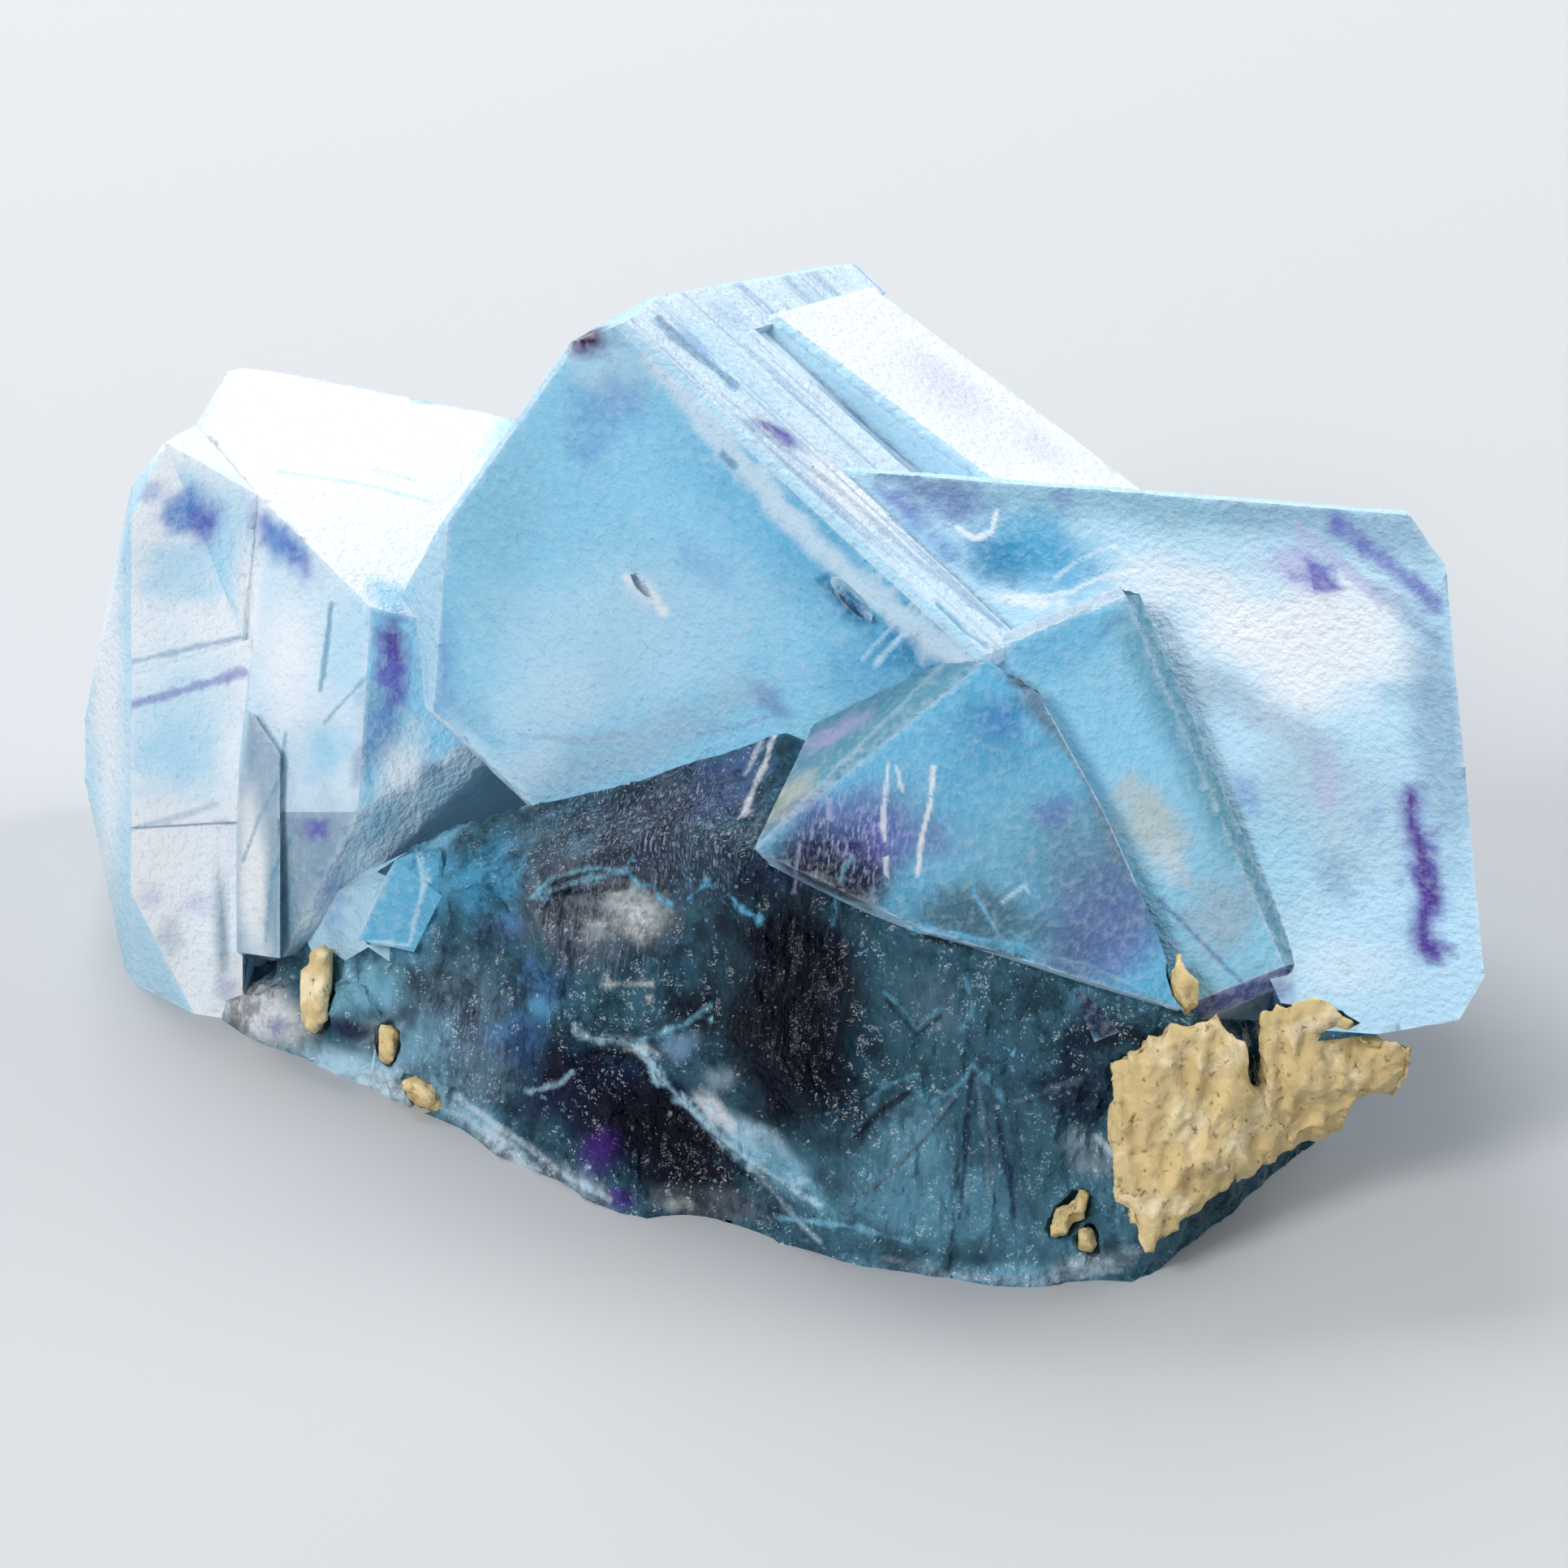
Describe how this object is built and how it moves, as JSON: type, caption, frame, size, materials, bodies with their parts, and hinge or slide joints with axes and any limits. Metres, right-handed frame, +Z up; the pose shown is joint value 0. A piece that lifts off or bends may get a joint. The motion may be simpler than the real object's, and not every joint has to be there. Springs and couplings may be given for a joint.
{
  "type": "fluorite crystal cluster",
  "caption": "Cluster of intergrown pale blue fluorite cubes on a dark, broken base that lies flat, with crusts of its tan matrix.",
  "frame": {"origin": "on the flat base, below the middle of the cluster as it is faced", "axes": "+X to the right across the cluster, +Y towards its back, +Z up from the base"},
  "size_m": [0.0456, 0.0352, 0.0244],
  "materials": {
    "fluorite": "clear to milky, etched and frosted faces, glassy where broken",
    "matrix": "dull, granular stone"
  },
  "bodies": {
    "root": {"fluorite_cluster": "fluorite", "matrix_crust": "matrix", "matrix_tip": "matrix", "matrix_sliver": "matrix", "matrix_grain": "matrix", "matrix_flake": "matrix", "matrix_chip": "matrix", "matrix_speck": "matrix"}
  },
  "joints": []
}
